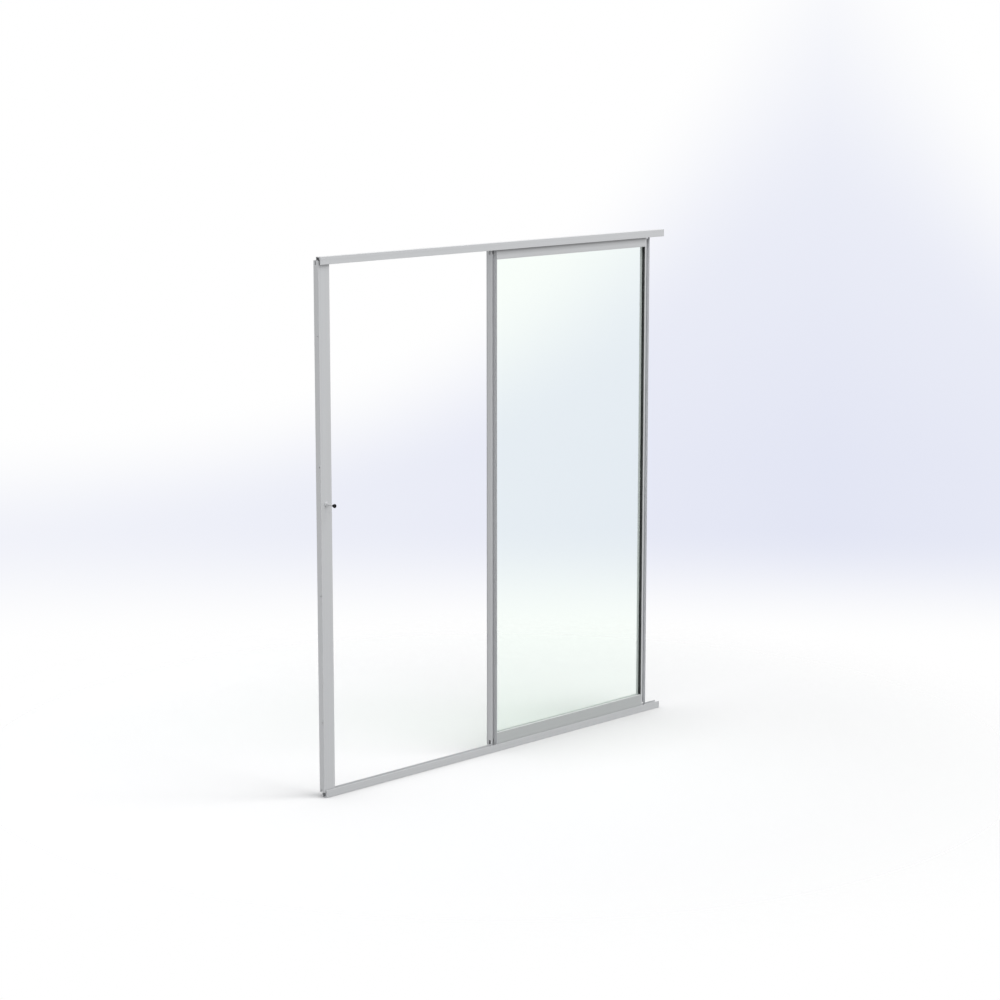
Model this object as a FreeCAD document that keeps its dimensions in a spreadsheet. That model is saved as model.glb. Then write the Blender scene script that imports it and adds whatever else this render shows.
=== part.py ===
import FreeCAD, Part
import math
import os
import Sketcher

# Sliding patio door: two open tracks, one closing jamb and one glazed panel on rollers.
# Millimetres, +Z up, -Y is the front. The origin is the middle of the sill track's underside.

os.makedirs("parts", exist_ok=True)
doc = FreeCAD.newDocument("sliding_patio_door")
sizes = doc.addObject("Spreadsheet::Sheet", "sizes")

DRIVING_SIZES = [
    # Tracks
    ("overall_height", 2100),
    ("track_length", 1958),
    ("track_depth", 24.5),
    ("track_height", 30),
    ("track_wall", 2),
    ("rail_height", 30.6),
    ("rail_crown", 0.5),
    ("fixing_hole_diameter", 5.5),
    ("fixing_end_inset", 139),
    ("track_edge_radius", 0.5),
    # Closing jamb
    ("jamb_width", 56.5),
    ("jamb_depth", 27),
    ("jamb_wall", 1.8),
    ("jamb_overhang", 4.5),
    ("jamb_setback", 6),
    ("jamb_foot_lap", 11),
    ("jamb_head_lap", 17),
    ("jamb_slot_clearance", 1),
    ("jamb_corner_radius", 1.5),
    ("jamb_hole_diameter", 5),
    ("jamb_access_diameter", 7),
    ("jamb_hole_setback", 6),
    ("jamb_hole_end_inset", 300),
    ("seal_channel_width", 7),
    ("seal_channel_depth", 2.5),
    ("pile_width", 5),
    ("pile_proud", 2),
    ("pile_backing", 1),
    ("pile_end_gap", 1.5),
    # Jamb brackets
    ("bracket_width", 36),
    ("bracket_thickness", 3),
    ("bracket_upright", 78),
    ("bracket_foot_gap", 1),
    # Stop pin
    ("pin_height", 1154.5),
    ("rose_radius", 9),
    ("rose_thickness", 3),
    ("rose_edge_radius", 1),
    ("rod_radius", 3.2),
    ("rod_length", 42),
    ("buffer_radius", 8),
    ("buffer_neck_radius", 4.4),
    ("buffer_rim_length", 4),
    ("buffer_edge_radius", 3),
    ("buffer_length", 13),
    ("buffer_socket", 8),
    # Track end stops
    ("end_stop_inset", 3),
    ("end_stop_length", 10),
    ("end_stop_height", 20),
    # Sliding panel
    ("panel_open_run", 70),
    ("panel_width", 952),
    ("panel_depth", 32.5),
    ("panel_floor_clearance", 6),
    ("panel_ceiling_clearance", 8),
    ("stile_width", 28.5),
    ("profile_wall", 1.8),
    ("profile_edge_radius", 0.6),
    ("trailing_strip", 8.7),
    ("meeting_recess", 1.8),
    ("meeting_recess_setback", 3),
    ("rail_slot_clearance", 5),
    ("leading_slot_rise", 17.5),
    ("trailing_slot_rise", 5.5),
    ("bottom_rail_height", 69),
    ("top_rail_height", 58),
    # Glazing
    ("glass_thickness", 6),
    ("glass_bite", 6),
    ("glass_edge_clearance", 2),
    ("gasket_thickness", 1.5),
    ("gasket_setback", 1),
    ("ledge_gasket_setback", 2),
    # Rollers and guides
    ("roller_setin", 60),
    ("wheel_tread_radius", 10),
    ("wheel_flange_radius", 13),
    ("wheel_width", 8),
    ("wheel_groove_play", 0.5),
    ("wheel_groove_flare", 0.8),
    ("wheel_running_gap", 0.3),
    ("wheel_bore_play", 0.15),
    ("axle_radius", 2.5),
    ("axle_fit", 0.1),
    ("housing_length", 60),
    ("housing_width", 24),
    ("housing_rail_clearance", 5),
    ("wheel_side_play", 1),
    ("guide_length", 40),
    ("guide_play", 0.5),
    ("guide_depth_play", 5),
    ("guide_top_setdown", 4),
]

for row, (alias, value) in enumerate(DRIVING_SIZES, start=1):
    sizes.set(f"A{row}", alias)
    sizes.set(f"B{row}", str(value))
    sizes.setAlias(f"B{row}", alias)
doc.recompute()

# Levels front to back
FASCIA_FRONT = "(-sizes.track_depth / 2)"
FASCIA_BACK = f"({FASCIA_FRONT} + sizes.track_wall)"
RAIL_BACK = "(sizes.track_depth / 2)"
RAIL_FRONT = f"({RAIL_BACK} - sizes.track_wall)"
RAIL_MIDDLE = f"({RAIL_BACK} - sizes.track_wall / 2)"
JAMB_FRONT = f"({FASCIA_BACK} + sizes.jamb_setback)"
JAMB_BACK = f"({JAMB_FRONT} + sizes.jamb_depth)"
PANEL_FRONT = f"({RAIL_MIDDLE} - sizes.panel_depth / 2)"
PANEL_BACK = f"({RAIL_MIDDLE} + sizes.panel_depth / 2)"
GLASS_FRONT = f"({RAIL_MIDDLE} - sizes.glass_thickness / 2)"
GLASS_BACK = f"({RAIL_MIDDLE} + sizes.glass_thickness / 2)"
POCKET_FRONT = f"({GLASS_FRONT} - sizes.gasket_thickness)"
POCKET_BACK = f"({GLASS_BACK} + sizes.gasket_thickness)"

# Levels left to right
TRACK_LEFT = "(-sizes.track_length / 2)"
TRACK_RIGHT = "(sizes.track_length / 2)"
JAMB_LEFT = f"({TRACK_LEFT} - sizes.jamb_overhang)"
JAMB_RIGHT = f"({JAMB_LEFT} + sizes.jamb_width)"
JAMB_MIDDLE = f"({JAMB_LEFT} + sizes.jamb_width / 2)"
STOP_START = f"({TRACK_RIGHT} - sizes.end_stop_inset - sizes.end_stop_length)"
PANEL_RIGHT = f"({STOP_START} - sizes.panel_open_run)"
PANEL_LEFT = f"({PANEL_RIGHT} - sizes.panel_width)"
RAILS_LEFT = f"({PANEL_LEFT} + sizes.stile_width)"
RAILS_LENGTH = "(sizes.panel_width - 2 * sizes.stile_width)"

# Levels bottom to top
SILL_FLOOR = "sizes.track_wall"
RAIL_TOP = "sizes.rail_height"
HEAD_TOP = "sizes.overall_height"
HEAD_CEILING = f"({HEAD_TOP} - sizes.track_wall)"
HEAD_LIP = f"({HEAD_TOP} - sizes.track_height)"
FIN_LOW = f"({HEAD_TOP} - sizes.rail_height)"
JAMB_LOW = f"({RAIL_TOP} - sizes.jamb_foot_lap)"
JAMB_HIGH = f"({FIN_LOW} + sizes.jamb_head_lap)"
PANEL_LOW = f"({SILL_FLOOR} + sizes.panel_floor_clearance)"
PANEL_HIGH = f"({HEAD_CEILING} - sizes.panel_ceiling_clearance)"
LOWER_LEDGE = f"({PANEL_LOW} + sizes.bottom_rail_height)"
UPPER_LEDGE = f"({PANEL_HIGH} - sizes.top_rail_height)"
POCKET_DEPTH = "(sizes.glass_bite + sizes.glass_edge_clearance)"
LOWER_POCKET = f"({LOWER_LEDGE} - {POCKET_DEPTH})"
UPPER_POCKET = f"({UPPER_LEDGE} + {POCKET_DEPTH})"
LOWER_WEB = f"({LOWER_POCKET} - sizes.profile_wall)"
UPPER_WEB = f"({UPPER_POCKET} + sizes.profile_wall)"
AXLE_LEVEL = f"({RAIL_TOP} + sizes.wheel_running_gap + sizes.wheel_tread_radius)"

# Sides of a sub-part's box whose long edges are rounded
FRONT = "YMin"
BACK = "YMax"

START_RADIUS = 40
SAME_PLACE = 0.001
LONG_SHARE = 0.9

sub_parts = []


def new_body(label):
    """Start a body for one sub-part, listed for export under its label."""
    body = doc.addObject("PartDesign::Body", label)
    body.Label = label
    sub_parts.append(body)
    return body


def new_sketch(body, plane_role, name, offset="0"):
    """Sketch on one of the body's own planes, moved along the plane's normal by offset."""
    plane = next(item for item in body.Origin.OriginFeatures if item.Role == plane_role)
    sketch = body.newObject("Sketcher::SketchObject", f"{body.Name}_{name}")
    sketch.AttachmentSupport = [(plane, "")]
    sketch.MapMode = "FlatFace"
    sketch.setExpression("AttachmentOffset.Base.z", offset)
    return sketch


def bind(sketch, constraint, expression):
    """Add one constraint and bind its value to the sheet."""
    index = sketch.addConstraint(constraint)
    sketch.setExpression(f"Constraints[{index}]", expression)


def add_outline(sketch, corners):
    """Closed straight outline; each corner is a pair of size expressions."""
    first = sketch.GeometryCount
    count = len(corners)
    starts = []
    for number in range(count):
        angle = 2 * math.pi * number / count
        starts.append(FreeCAD.Vector(START_RADIUS * math.cos(angle), START_RADIUS * math.sin(angle), 0))
    for number in range(count):
        sketch.addGeometry(Part.LineSegment(starts[number], starts[(number + 1) % count]))
    for number in range(count):
        following = first + (number + 1) % count
        sketch.addConstraint(Sketcher.Constraint("Coincident", first + number, 2, following, 1))
    for number, (across, up) in enumerate(corners):
        start = starts[number]
        bind(sketch, Sketcher.Constraint("DistanceX", first + number, 1, start.x), across)
        bind(sketch, Sketcher.Constraint("DistanceY", first + number, 1, start.y), up)


def rectangle(left, right, low, high):
    """The four corners of an upright rectangle."""
    return [(left, low), (right, low), (right, high), (left, high)]


def add_circle(sketch, across, up, diameter):
    """Circle whose centre and diameter are size expressions."""
    number = sketch.addGeometry(Part.Circle(FreeCAD.Vector(1, 1, 0), FreeCAD.Vector(0, 0, 1), 1))
    bind(sketch, Sketcher.Constraint("DistanceX", number, 3, 1), across)
    bind(sketch, Sketcher.Constraint("DistanceY", number, 3, 1), up)
    bind(sketch, Sketcher.Constraint("Diameter", number, 2), diameter)


def add_pad(body, sketch, length):
    """Extrude a sketch along its plane's normal."""
    pad = body.newObject("PartDesign::Pad", f"{sketch.Name}_pad")
    pad.Profile = sketch
    pad.setExpression("Length", length)
    return pad


def add_cut(body, sketch):
    """Cut a sketch through the whole body, both ways."""
    doc.recompute()
    before = body.Shape.Volume
    cut = body.newObject("PartDesign::Pocket", f"{sketch.Name}_cut")
    cut.Profile = sketch
    cut.Type = "ThroughAll"
    cut.SideType = "Symmetric"
    doc.recompute()
    if body.Shape.Volume >= before:
        raise RuntimeError(f"{body.Label}: {sketch.Name} cut nothing")
    return cut


def cut_one_wall(body, sketch, depth, reverse):
    """Cut a sketch to a depth on one side of its plane."""
    doc.recompute()
    before = body.Shape.Volume
    cut = body.newObject("PartDesign::Pocket", f"{sketch.Name}_cut")
    cut.Profile = sketch
    cut.Reversed = reverse
    cut.setExpression("Length", depth)
    doc.recompute()
    if body.Shape.Volume >= before:
        raise RuntimeError(f"{body.Label}: {sketch.Name} cut nothing")


def extrude_along_x(label, outlines, start, length):
    """Profile in the YZ plane, extruded along X from start."""
    body = new_body(label)
    sketch = new_sketch(body, "YZ_Plane", "profile", start)
    for corners in outlines:
        add_outline(sketch, corners)
    add_pad(body, sketch, length)
    return body


def extrude_along_z(label, outlines, start, length):
    """Profile in the XY plane, extruded up from start."""
    body = new_body(label)
    sketch = new_sketch(body, "XY_Plane", "profile", start)
    for corners in outlines:
        add_outline(sketch, corners)
    add_pad(body, sketch, length)
    return body


def round_edges(body, radius, sides):
    """Fillet the body's long edges that lie in the named sides of its box."""
    doc.recompute()
    feature = body.Tip
    shape = feature.Shape
    places = [getattr(shape.BoundBox, side) for side in sides]
    longest = max(edge.Length for edge in shape.Edges)
    names = []
    for number, edge in enumerate(shape.Edges, start=1):
        is_long = edge.Length > LONG_SHARE * longest
        is_flush = any(all(abs(end.Y - place) < SAME_PLACE for end in edge.Vertexes) for place in places)
        if is_long and is_flush:
            names.append(f"Edge{number}")
    if not names:
        raise RuntimeError(f"{body.Label}: no edge to round")
    fillet = body.newObject("PartDesign::Fillet", f"{body.Name}_rounding")
    fillet.Base = (feature, names)
    fillet.setExpression("Radius", radius)


def turn_about_y(label, corners, place):
    """Profile of radius and length along Y, turned about the Y axis and set at place."""
    body = new_body(label)
    sketch = new_sketch(body, "XY_Plane", "profile")
    add_outline(sketch, corners)
    turned = body.newObject("PartDesign::Revolution", f"{sketch.Name}_turned")
    turned.Profile = sketch
    turned.ReferenceAxis = (sketch, ["V_Axis"])
    turned.Angle = 360
    for axis, expression in zip("xyz", place):
        body.setExpression(f"Placement.Base.{axis}", expression)
    return body


HOLES_IN_A_ROW = 4


def row_of_holes(first, last):
    """Evenly spaced places from first to last, both included."""
    gaps = HOLES_IN_A_ROW - 1
    return [f"{first} + {number} * ({last} - {first}) / {gaps}" for number in range(HOLES_IN_A_ROW)]


def cut_track_holes(body):
    """Round fixing holes through a track's web, midway between its walls."""
    holes = new_sketch(body, "XY_Plane", "fixings")
    first = f"({TRACK_LEFT} + sizes.fixing_end_inset)"
    last = f"({TRACK_RIGHT} - sizes.fixing_end_inset)"
    for place in row_of_holes(first, last):
        add_circle(holes, place, "0", "sizes.fixing_hole_diameter")
    add_cut(body, holes)


# Sill track: front fascia, floor web and the raised rail that the rollers run on
sill_outline = [
    (FASCIA_FRONT, "0"),
    (RAIL_BACK, "0"),
    (RAIL_BACK, f"{RAIL_TOP} - sizes.rail_crown"),
    (f"{RAIL_BACK} - sizes.rail_crown", RAIL_TOP),
    (f"{RAIL_FRONT} + sizes.rail_crown", RAIL_TOP),
    (RAIL_FRONT, f"{RAIL_TOP} - sizes.rail_crown"),
    (RAIL_FRONT, SILL_FLOOR),
    (FASCIA_BACK, SILL_FLOOR),
    (FASCIA_BACK, "sizes.track_height"),
    (FASCIA_FRONT, "sizes.track_height"),
]
sill_track = extrude_along_x("sill_track", [sill_outline], TRACK_LEFT, "sizes.track_length")
round_edges(sill_track, "sizes.track_edge_radius", [FRONT])
cut_track_holes(sill_track)

# Head track: the same section turned over, its rear fin guides the panel's top
head_outline = [
    (FASCIA_FRONT, HEAD_TOP),
    (FASCIA_FRONT, HEAD_LIP),
    (FASCIA_BACK, HEAD_LIP),
    (FASCIA_BACK, HEAD_CEILING),
    (RAIL_FRONT, HEAD_CEILING),
    (RAIL_FRONT, f"{FIN_LOW} + sizes.rail_crown"),
    (f"{RAIL_FRONT} + sizes.rail_crown", FIN_LOW),
    (f"{RAIL_BACK} - sizes.rail_crown", FIN_LOW),
    (RAIL_BACK, f"{FIN_LOW} + sizes.rail_crown"),
    (RAIL_BACK, HEAD_TOP),
]
head_track = extrude_along_x("head_track", [head_outline], TRACK_LEFT, "sizes.track_length")
round_edges(head_track, "sizes.track_edge_radius", [FRONT])
cut_track_holes(head_track)

# Closing jamb: hollow post with a seal channel facing the panel, slotted over rail and fin
SEAL_LOW = f"({RAIL_MIDDLE} - sizes.seal_channel_width / 2)"
SEAL_HIGH = f"({RAIL_MIDDLE} + sizes.seal_channel_width / 2)"
CHANNEL_BACK = f"({JAMB_RIGHT} - sizes.seal_channel_depth)"
jamb_outside = [
    (JAMB_LEFT, JAMB_FRONT),
    (JAMB_RIGHT, JAMB_FRONT),
    (JAMB_RIGHT, SEAL_LOW),
    (CHANNEL_BACK, SEAL_LOW),
    (CHANNEL_BACK, SEAL_HIGH),
    (JAMB_RIGHT, SEAL_HIGH),
    (JAMB_RIGHT, JAMB_BACK),
    (JAMB_LEFT, JAMB_BACK),
]
jamb_inside = [
    (f"{JAMB_LEFT} + sizes.jamb_wall", f"{JAMB_FRONT} + sizes.jamb_wall"),
    (f"{JAMB_RIGHT} - sizes.jamb_wall", f"{JAMB_FRONT} + sizes.jamb_wall"),
    (f"{JAMB_RIGHT} - sizes.jamb_wall", f"{SEAL_LOW} - sizes.jamb_wall"),
    (f"{CHANNEL_BACK} - sizes.jamb_wall", f"{SEAL_LOW} - sizes.jamb_wall"),
    (f"{CHANNEL_BACK} - sizes.jamb_wall", f"{SEAL_HIGH} + sizes.jamb_wall"),
    (f"{JAMB_RIGHT} - sizes.jamb_wall", f"{SEAL_HIGH} + sizes.jamb_wall"),
    (f"{JAMB_RIGHT} - sizes.jamb_wall", f"{JAMB_BACK} - sizes.jamb_wall"),
    (f"{JAMB_LEFT} + sizes.jamb_wall", f"{JAMB_BACK} - sizes.jamb_wall"),
]
closing_jamb = extrude_along_z(
    "closing_jamb", [jamb_outside, jamb_inside], JAMB_LOW, f"{JAMB_HIGH} - {JAMB_LOW}"
)
round_edges(closing_jamb, "sizes.jamb_corner_radius", [FRONT, BACK])
jamb_slots = new_sketch(closing_jamb, "YZ_Plane", "slots")
slot_front = f"{RAIL_FRONT} - sizes.jamb_slot_clearance"
slot_back = f"{RAIL_BACK} + sizes.jamb_slot_clearance"
add_outline(jamb_slots, rectangle(slot_front, slot_back, JAMB_LOW, RAIL_TOP))
add_outline(jamb_slots, rectangle(slot_front, slot_back, FIN_LOW, JAMB_HIGH))
add_cut(closing_jamb, jamb_slots)

wall_holes = new_sketch(closing_jamb, "YZ_Plane", "wall_holes", JAMB_LEFT)
access_holes = new_sketch(closing_jamb, "YZ_Plane", "access_holes", JAMB_RIGHT)
HOLE_DEPTH_PLACE = f"{JAMB_FRONT} + sizes.jamb_hole_setback"
for height in row_of_holes("sizes.jamb_hole_end_inset", f"({HEAD_TOP} - sizes.jamb_hole_end_inset)"):
    add_circle(wall_holes, HOLE_DEPTH_PLACE, height, "sizes.jamb_hole_diameter")
    add_circle(access_holes, HOLE_DEPTH_PLACE, height, "sizes.jamb_access_diameter")
cut_one_wall(closing_jamb, wall_holes, "sizes.jamb_wall", True)
cut_one_wall(closing_jamb, access_holes, "sizes.jamb_wall", False)

# Pile seal: a backing strip in the jamb's channel with the pile standing proud of it
BACKING_FACE = f"({CHANNEL_BACK} + sizes.pile_backing)"
PILE_FACE = f"({JAMB_RIGHT} + sizes.pile_proud)"
seal_outline = [
    (CHANNEL_BACK, SEAL_LOW),
    (BACKING_FACE, SEAL_LOW),
    (BACKING_FACE, f"{RAIL_MIDDLE} - sizes.pile_width / 2"),
    (PILE_FACE, f"{RAIL_MIDDLE} - sizes.pile_width / 2"),
    (PILE_FACE, f"{RAIL_MIDDLE} + sizes.pile_width / 2"),
    (BACKING_FACE, f"{RAIL_MIDDLE} + sizes.pile_width / 2"),
    (BACKING_FACE, SEAL_HIGH),
    (CHANNEL_BACK, SEAL_HIGH),
]
extrude_along_z(
    "jamb_pile_seal",
    [seal_outline],
    f"{RAIL_TOP} + sizes.pile_end_gap",
    f"{FIN_LOW} - {RAIL_TOP} - 2 * sizes.pile_end_gap",
)

# Angle brackets that stand in the tracks and hold the jamb's front wall
BRACKET_FRONT = f"({JAMB_FRONT} + sizes.jamb_wall)"
BRACKET_INNER = f"({BRACKET_FRONT} + sizes.bracket_thickness)"
BRACKET_TOE = f"({RAIL_FRONT} - sizes.bracket_foot_gap)"


def angle_bracket(label, base, upright_sign):
    """Angle with its foot on the track web at base and its upright along the jamb."""
    foot = f"{base} {upright_sign} sizes.bracket_thickness"
    tip = f"{base} {upright_sign} sizes.bracket_upright"
    corners = [
        (BRACKET_FRONT, base),
        (BRACKET_TOE, base),
        (BRACKET_TOE, foot),
        (BRACKET_INNER, foot),
        (BRACKET_INNER, tip),
        (BRACKET_FRONT, tip),
    ]
    extrude_along_x(label, [corners], f"{JAMB_MIDDLE} - sizes.bracket_width / 2", "sizes.bracket_width")


angle_bracket("jamb_foot_bracket", SILL_FLOOR, "+")
angle_bracket("jamb_head_bracket", HEAD_CEILING, "-")

# Stop pin on the jamb's front face: rose, rod and rubber buffer, flared towards its tip
ROSE_FACE = "(-sizes.rose_thickness)"
ROD_TIP = f"({ROSE_FACE} - sizes.rod_length)"
BUFFER_BACK = f"({ROD_TIP} + sizes.buffer_socket)"
BUFFER_TIP = f"({BUFFER_BACK} - sizes.buffer_length)"
pin_place = (JAMB_MIDDLE, JAMB_FRONT, "sizes.pin_height")
rose = turn_about_y(
    "stop_pin_rose",
    rectangle("0", "sizes.rose_radius", ROSE_FACE, "0"),
    pin_place,
)
round_edges(rose, "sizes.rose_edge_radius", [FRONT])
turn_about_y(
    "stop_pin_rod",
    rectangle("0", "sizes.rod_radius", ROD_TIP, ROSE_FACE),
    pin_place,
)
buffer_corners = [
    ("0", ROD_TIP),
    ("sizes.rod_radius", ROD_TIP),
    ("sizes.rod_radius", BUFFER_BACK),
    ("sizes.buffer_neck_radius", BUFFER_BACK),
    ("sizes.buffer_radius", f"{BUFFER_TIP} + sizes.buffer_rim_length"),
    ("sizes.buffer_radius", BUFFER_TIP),
    ("0", BUFFER_TIP),
]
rubber_buffer = turn_about_y("stop_pin_buffer", buffer_corners, pin_place)
round_edges(rubber_buffer, "sizes.buffer_edge_radius", [FRONT])

# End stops in the open end of each track
extrude_along_x(
    "sill_end_stop",
    [rectangle(FASCIA_BACK, RAIL_FRONT, SILL_FLOOR, f"{SILL_FLOOR} + sizes.end_stop_height")],
    STOP_START,
    "sizes.end_stop_length",
)
extrude_along_x(
    "head_end_stop",
    [rectangle(FASCIA_BACK, RAIL_FRONT, f"{HEAD_CEILING} - sizes.end_stop_height", HEAD_CEILING)],
    STOP_START,
    "sizes.end_stop_length",
)

# Stiles: a deep channel open to the front, a glazing pocket beside it and a hollow chamber behind
WALL = "sizes.profile_wall"
STILE = "sizes.stile_width"
HOUSE_SLOT_FRONT = f"({RAIL_FRONT} - sizes.rail_slot_clearance)"
HOUSE_SLOT_BACK = f"({RAIL_BACK} + sizes.rail_slot_clearance)"
POCKET_LIP = f"({HOUSE_SLOT_FRONT} - {WALL})"
CHAMBER_FRONT = f"({HOUSE_SLOT_BACK} + {WALL})"
CHAMBER_BACK = f"({PANEL_BACK} - {WALL})"
POCKET_EDGE = f"({STILE} - {POCKET_DEPTH})"
RECESS_START = f"({HOUSE_SLOT_FRONT} + {WALL} + sizes.meeting_recess_setback)"


def stile(label, outer_edge, inward, is_leading):
    """Panel stile; distances across are measured inward from its outer edge."""

    def across(distance, depth):
        return (f"{outer_edge} {inward} ({distance})", depth)

    strip = WALL if is_leading else "sizes.trailing_strip"
    channel_end = f"({STILE} - {strip})"
    rear_wall = f"(sizes.meeting_recess + {WALL})" if is_leading else WALL
    outside = [across("0", PANEL_FRONT), across(WALL, PANEL_FRONT)]
    if is_leading:
        outside += [
            across(WALL, f"{RECESS_START} - {WALL}"),
            across(rear_wall, f"{RECESS_START} - {WALL}"),
        ]
    outside += [
        across(rear_wall, HOUSE_SLOT_BACK),
        across(f"{POCKET_EDGE} - {WALL}", HOUSE_SLOT_BACK),
        across(f"{POCKET_EDGE} - {WALL}", POCKET_LIP),
        across(channel_end, POCKET_LIP),
        across(channel_end, PANEL_FRONT),
        across(STILE, PANEL_FRONT),
    ]
    # The trailing stile has a front strip beside the glass, which the gasket stands behind
    strip_back = f"({PANEL_FRONT} + {WALL})"
    strip_root = f"({channel_end} + {WALL})"
    if is_leading:
        outside.append(across(STILE, HOUSE_SLOT_FRONT))
    else:
        outside += [
            across(STILE, strip_back),
            across(strip_root, strip_back),
            across(strip_root, HOUSE_SLOT_FRONT),
        ]
    outside += [
        across(POCKET_EDGE, HOUSE_SLOT_FRONT),
        across(POCKET_EDGE, POCKET_BACK),
        across(STILE, POCKET_BACK),
        across(STILE, PANEL_BACK),
        across("0", PANEL_BACK),
    ]
    # The leading stile's outer side is recessed where it meets the jamb's pile seal
    if is_leading:
        outside += [
            across("0", CHAMBER_BACK),
            across("sizes.meeting_recess", CHAMBER_BACK),
            across("sizes.meeting_recess", RECESS_START),
            across("0", RECESS_START),
        ]
    chamber = [
        across(rear_wall, CHAMBER_FRONT),
        across(f"{STILE} - {WALL}", CHAMBER_FRONT),
        across(f"{STILE} - {WALL}", CHAMBER_BACK),
        across(rear_wall, CHAMBER_BACK),
    ]
    body = extrude_along_z(label, [outside, chamber], PANEL_LOW, f"{PANEL_HIGH} - {PANEL_LOW}")
    round_edges(body, "sizes.profile_edge_radius", [FRONT, BACK])
    slots = new_sketch(body, "YZ_Plane", "slots")
    rise = "sizes.leading_slot_rise" if is_leading else "sizes.trailing_slot_rise"
    slot_top = f"{RAIL_TOP} + {rise}"
    slot_low = f"{FIN_LOW} - {rise}"
    add_outline(slots, rectangle(HOUSE_SLOT_FRONT, HOUSE_SLOT_BACK, PANEL_LOW, slot_top))
    add_outline(slots, rectangle(HOUSE_SLOT_FRONT, HOUSE_SLOT_BACK, slot_low, PANEL_HIGH))
    add_cut(body, slots)

    gasket_edge = f"{STILE} - sizes.gasket_setback"
    glass_edge = f"{STILE} - sizes.glass_bite"
    if is_leading:
        gasket = [across(gasket_edge, HOUSE_SLOT_FRONT)]
    else:
        gasket = [
            across(gasket_edge, strip_back),
            across(strip_root, strip_back),
            across(strip_root, HOUSE_SLOT_FRONT),
        ]
    gasket += [
        across(POCKET_EDGE, HOUSE_SLOT_FRONT),
        across(POCKET_EDGE, POCKET_BACK),
        across(gasket_edge, POCKET_BACK),
        across(gasket_edge, GLASS_BACK),
        across(glass_edge, GLASS_BACK),
        across(glass_edge, GLASS_FRONT),
        across(gasket_edge, GLASS_FRONT),
    ]
    gasket_label = label.replace("stile", "gasket")
    extrude_along_z(gasket_label, [gasket], LOWER_LEDGE, f"{UPPER_LEDGE} - {LOWER_LEDGE}")


stile("leading_stile", PANEL_LEFT, "+", True)
stile("trailing_stile", PANEL_RIGHT, "-", False)


# Rails: a glazing pocket between two chambers, over or under an open channel
def panel_rail(label, outer, ledge, pocket, web, glass_side):
    """Panel rail between the stiles; glass_side is + where the glass stands above it."""
    outside = [
        (PANEL_FRONT, outer),
        (PANEL_FRONT, ledge),
        (POCKET_FRONT, ledge),
        (POCKET_FRONT, pocket),
        (POCKET_BACK, pocket),
        (POCKET_BACK, ledge),
        (PANEL_BACK, ledge),
        (PANEL_BACK, outer),
        (f"{PANEL_BACK} - {WALL}", outer),
        (f"{PANEL_BACK} - {WALL}", web),
        (f"{PANEL_FRONT} + {WALL}", web),
        (f"{PANEL_FRONT} + {WALL}", outer),
    ]
    inward = "-" if glass_side == "+" else "+"
    chamber_low = f"{web} {glass_side} {WALL}"
    chamber_high = f"{ledge} {inward} {WALL}"
    front_chamber = rectangle(
        f"{PANEL_FRONT} + {WALL}", f"{POCKET_FRONT} - {WALL}", chamber_low, chamber_high
    )
    rear_chamber = rectangle(
        f"{POCKET_BACK} + {WALL}", f"{PANEL_BACK} - {WALL}", chamber_low, chamber_high
    )
    rail = extrude_along_x(label, [outside, front_chamber, rear_chamber], RAILS_LEFT, RAILS_LENGTH)
    round_edges(rail, "sizes.profile_edge_radius", [FRONT, BACK])

    glass_edge = f"{ledge} {inward} sizes.glass_bite"
    gasket_edge = f"{ledge} {inward} sizes.ledge_gasket_setback"
    gasket = [
        (POCKET_FRONT, gasket_edge),
        (POCKET_FRONT, pocket),
        (POCKET_BACK, pocket),
        (POCKET_BACK, gasket_edge),
        (GLASS_BACK, gasket_edge),
        (GLASS_BACK, glass_edge),
        (GLASS_FRONT, glass_edge),
        (GLASS_FRONT, gasket_edge),
    ]
    extrude_along_x(label.replace("rail", "gasket"), [gasket], RAILS_LEFT, RAILS_LENGTH)


panel_rail("bottom_rail", PANEL_LOW, LOWER_LEDGE, LOWER_POCKET, LOWER_WEB, "+")
panel_rail("top_rail", PANEL_HIGH, UPPER_LEDGE, UPPER_POCKET, UPPER_WEB, "-")

# Glass pane, held on all four edges
extrude_along_z(
    "glass_pane",
    [
        rectangle(
            f"{PANEL_LEFT} + sizes.stile_width - sizes.glass_bite",
            f"{PANEL_RIGHT} - sizes.stile_width + sizes.glass_bite",
            GLASS_FRONT,
            GLASS_BACK,
        )
    ],
    f"{LOWER_LEDGE} - sizes.glass_bite",
    f"{UPPER_LEDGE} - {LOWER_LEDGE} + 2 * sizes.glass_bite",
)

# Rollers: housing, grooved wheel and axle near each end of the bottom rail
HOUSING_LOW = f"({RAIL_TOP} + sizes.housing_rail_clearance)"
TREAD_HALF = "(sizes.track_wall / 2 + sizes.wheel_groove_play)"


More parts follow.
